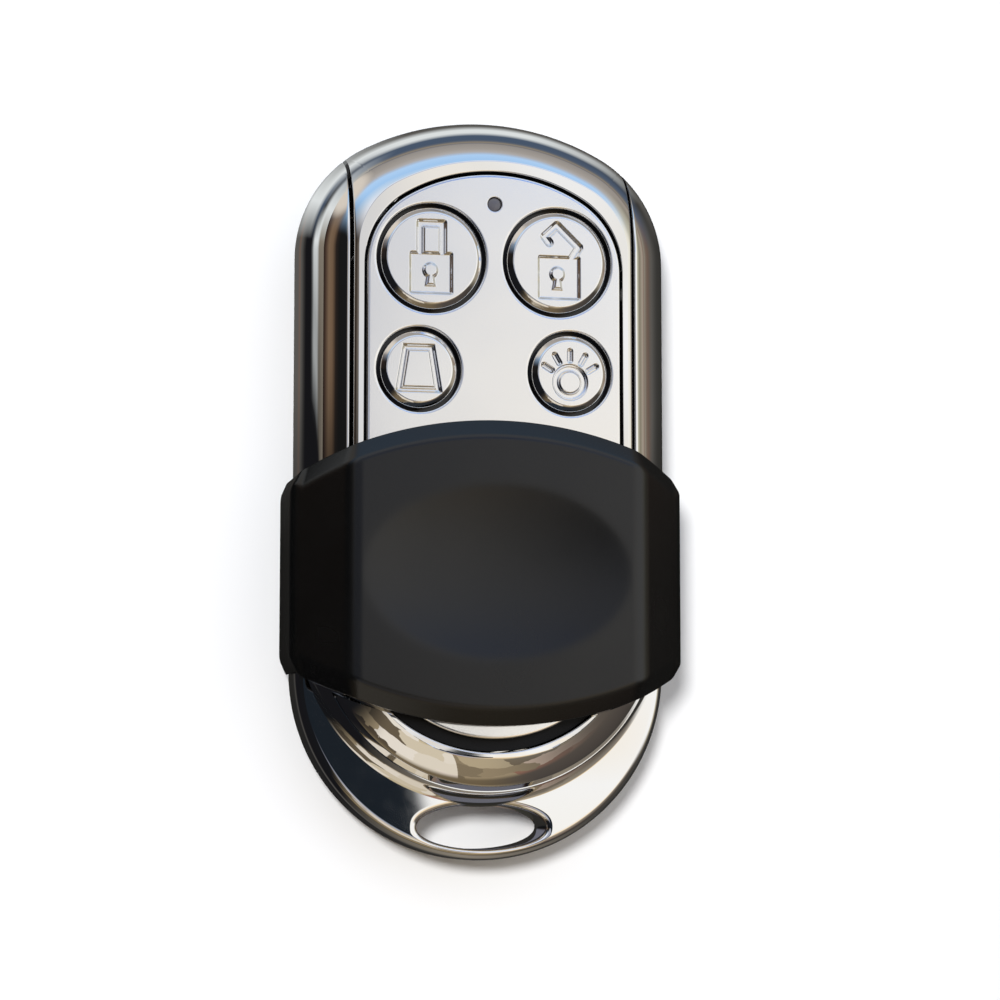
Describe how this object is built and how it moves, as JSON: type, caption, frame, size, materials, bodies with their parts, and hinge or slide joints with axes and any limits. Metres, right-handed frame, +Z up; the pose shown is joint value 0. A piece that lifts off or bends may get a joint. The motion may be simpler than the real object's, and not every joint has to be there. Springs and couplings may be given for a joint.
{
  "type": "alarm key fob",
  "caption": "Alarm key fob: long chrome body with round lock, unlock, bell and light buttons, a status lamp, a key-ring eye and a black thumb cover that slides over the buttons.",
  "frame": {"origin": "middle of the footprint, on the flat back", "axes": "+X across the face, +Y towards the lamp end, +Z up out of the face"},
  "size_m": [0.0352, 0.066, 0.0142],
  "materials": {
    "chrome_body": "polished",
    "chrome_caps": "polished",
    "satin_plate": "satin",
    "black_rubber": "matte",
    "black_cover": "satin",
    "switch_plungers": "matte",
    "switch_cases": "matte",
    "board_laminate": "satin",
    "lamp_lens": "gloss",
    "cell_steel": "satin",
    "plated_contacts": "satin",
    "chip_resin": "matte",
    "chip_ceramic": "matte",
    "copper_loop": "satin",
    "screw_steel": "satin"
  },
  "bodies": {
    "body": {"chassis": "chrome_body", "front_bezel": "chrome_body", "rear_cover": "chrome_body", "face_plate": "satin_plate", "plate_gasket": "black_rubber", "switch_housings": "switch_cases", "circuit_board": "board_laminate", "status_led": "lamp_lens", "light_pipe": "lamp_lens", "coin_cell": "cell_steel", "battery_clip": "plated_contacts", "battery_spring": "plated_contacts", "radio_chip": "chip_resin", "resonator_can": "cell_steel", "chip_passives": "chip_ceramic", "loop_antenna": "copper_loop", "case_screws": "screw_steel", "board_screws": "screw_steel"},
    "cover": {"slide_cover": "black_cover"},
    "lock_key": {"lock_button": "chrome_caps", "lock_plunger": "switch_plungers"},
    "unlock_key": {"unlock_button": "chrome_caps", "unlock_plunger": "switch_plungers"},
    "bell_key": {"bell_button": "chrome_caps", "bell_plunger": "switch_plungers"},
    "light_key": {"light_button": "chrome_caps", "light_plunger": "switch_plungers"}
  },
  "joints": [
    {"name": "cover_slide", "type": "slide", "parent": "body", "child": "cover", "axis": [0, 1, 0], "range_m": [0, 0.02]},
    {"name": "lock_press", "type": "slide", "parent": "body", "child": "lock_key", "axis": [0, 0, -1], "range_m": [0, 0.00035], "stiffness_N_per_m": 5700},
    {"name": "unlock_press", "type": "slide", "parent": "body", "child": "unlock_key", "axis": [0, 0, -1], "range_m": [0, 0.00035], "stiffness_N_per_m": 5700},
    {"name": "bell_press", "type": "slide", "parent": "body", "child": "bell_key", "axis": [0, 0, -1], "range_m": [0, 0.00035], "stiffness_N_per_m": 5700},
    {"name": "light_press", "type": "slide", "parent": "body", "child": "light_key", "axis": [0, 0, -1], "range_m": [0, 0.00035], "stiffness_N_per_m": 5700}
  ]
}
